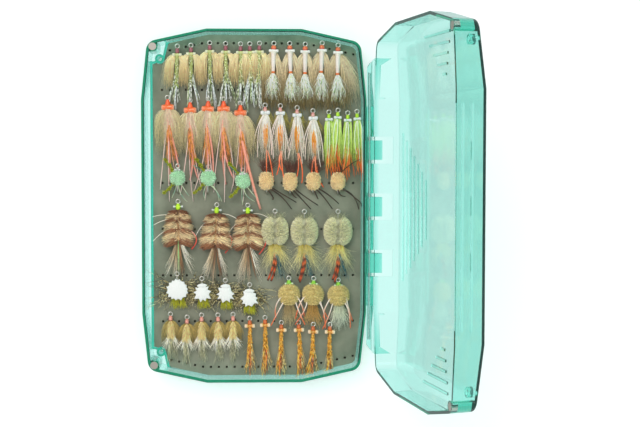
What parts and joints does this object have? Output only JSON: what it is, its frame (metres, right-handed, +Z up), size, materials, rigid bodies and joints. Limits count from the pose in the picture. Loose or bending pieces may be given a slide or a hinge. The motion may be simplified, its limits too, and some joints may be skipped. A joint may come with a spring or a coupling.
{
  "type": "fly box",
  "caption": "Shallow clear fly-fishing box with a hinged domed lid held shut by corner magnets and slit foam holding rows of shrimp and crab flies.",
  "frame": {"origin": "centre of the base's flat underside, measured without the hinge", "axes": "+X towards the hinge, +Y along the box's length, +Z up; the lid is stored open"},
  "size_m": [0.163, 0.187, 0.1351],
  "materials": {
    "teal_polycarbonate": "gloss",
    "foam": "matte",
    "magnet_nickel": "satin",
    "pin_steel": "satin",
    "hook_steel": "satin",
    "tan_shrimp_dressing": "matte",
    "pearl_shrimp_dressing": "matte",
    "pink_leg_shrimp_dressing": "matte",
    "white_wing_shrimp_dressing": "matte",
    "chartreuse_shrimp_dressing": "matte",
    "small_shrimp_dressing": "matte",
    "gold_shrimp_dressing": "matte",
    "striped_crab_dressing": "matte",
    "mint_crab_dressing": "matte",
    "tan_crab_dressing": "matte",
    "wool_crab_dressing": "matte",
    "white_back_crab_dressing": "matte",
    "round_crab_dressing": "matte"
  },
  "bodies": {
    "base": {"base_magnet_front": "magnet_nickel", "base_magnet_rear": "magnet_nickel", "base_shell": "teal_polycarbonate", "chartreuse_shrimp_dressings": "chartreuse_shrimp_dressing", "chartreuse_shrimp_hooks": "hook_steel", "foam_insert": "foam", "gold_shrimp_dressings": "gold_shrimp_dressing", "gold_shrimp_hooks": "hook_steel", "mint_crab_dressings": "mint_crab_dressing", "mint_crab_hooks": "hook_steel", "pearl_shrimp_dressings": "pearl_shrimp_dressing", "pearl_shrimp_hooks": "hook_steel", "pink_leg_shrimp_dressings": "pink_leg_shrimp_dressing", "pink_leg_shrimp_hooks": "hook_steel", "round_crab_dressings": "round_crab_dressing", "round_crab_hooks": "hook_steel", "small_shrimp_dressings": "small_shrimp_dressing", "small_shrimp_hooks": "hook_steel", "striped_crab_dressings": "striped_crab_dressing", "striped_crab_hooks": "hook_steel", "tan_crab_dressings": "tan_crab_dressing", "tan_crab_hooks": "hook_steel", "tan_shrimp_dressings": "tan_shrimp_dressing", "tan_shrimp_hooks": "hook_steel", "white_back_crab_dressings": "white_back_crab_dressing", "white_back_crab_hooks": "hook_steel", "white_wing_shrimp_dressings": "white_wing_shrimp_dressing", "white_wing_shrimp_hooks": "hook_steel", "wool_crab_dressings": "wool_crab_dressing", "wool_crab_hooks": "hook_steel"},
    "lid": {"hinge_pin": "pin_steel", "lid_magnet_front": "magnet_nickel", "lid_magnet_rear": "magnet_nickel", "lid_shell": "teal_polycarbonate"}
  },
  "joints": [
    {"name": "lid_hinge", "type": "hinge", "parent": "base", "child": "lid", "pos_m": [0.06105, 0, 0.0183], "axis": [0, 1, 0], "range_deg": [-103, 0]}
  ]
}
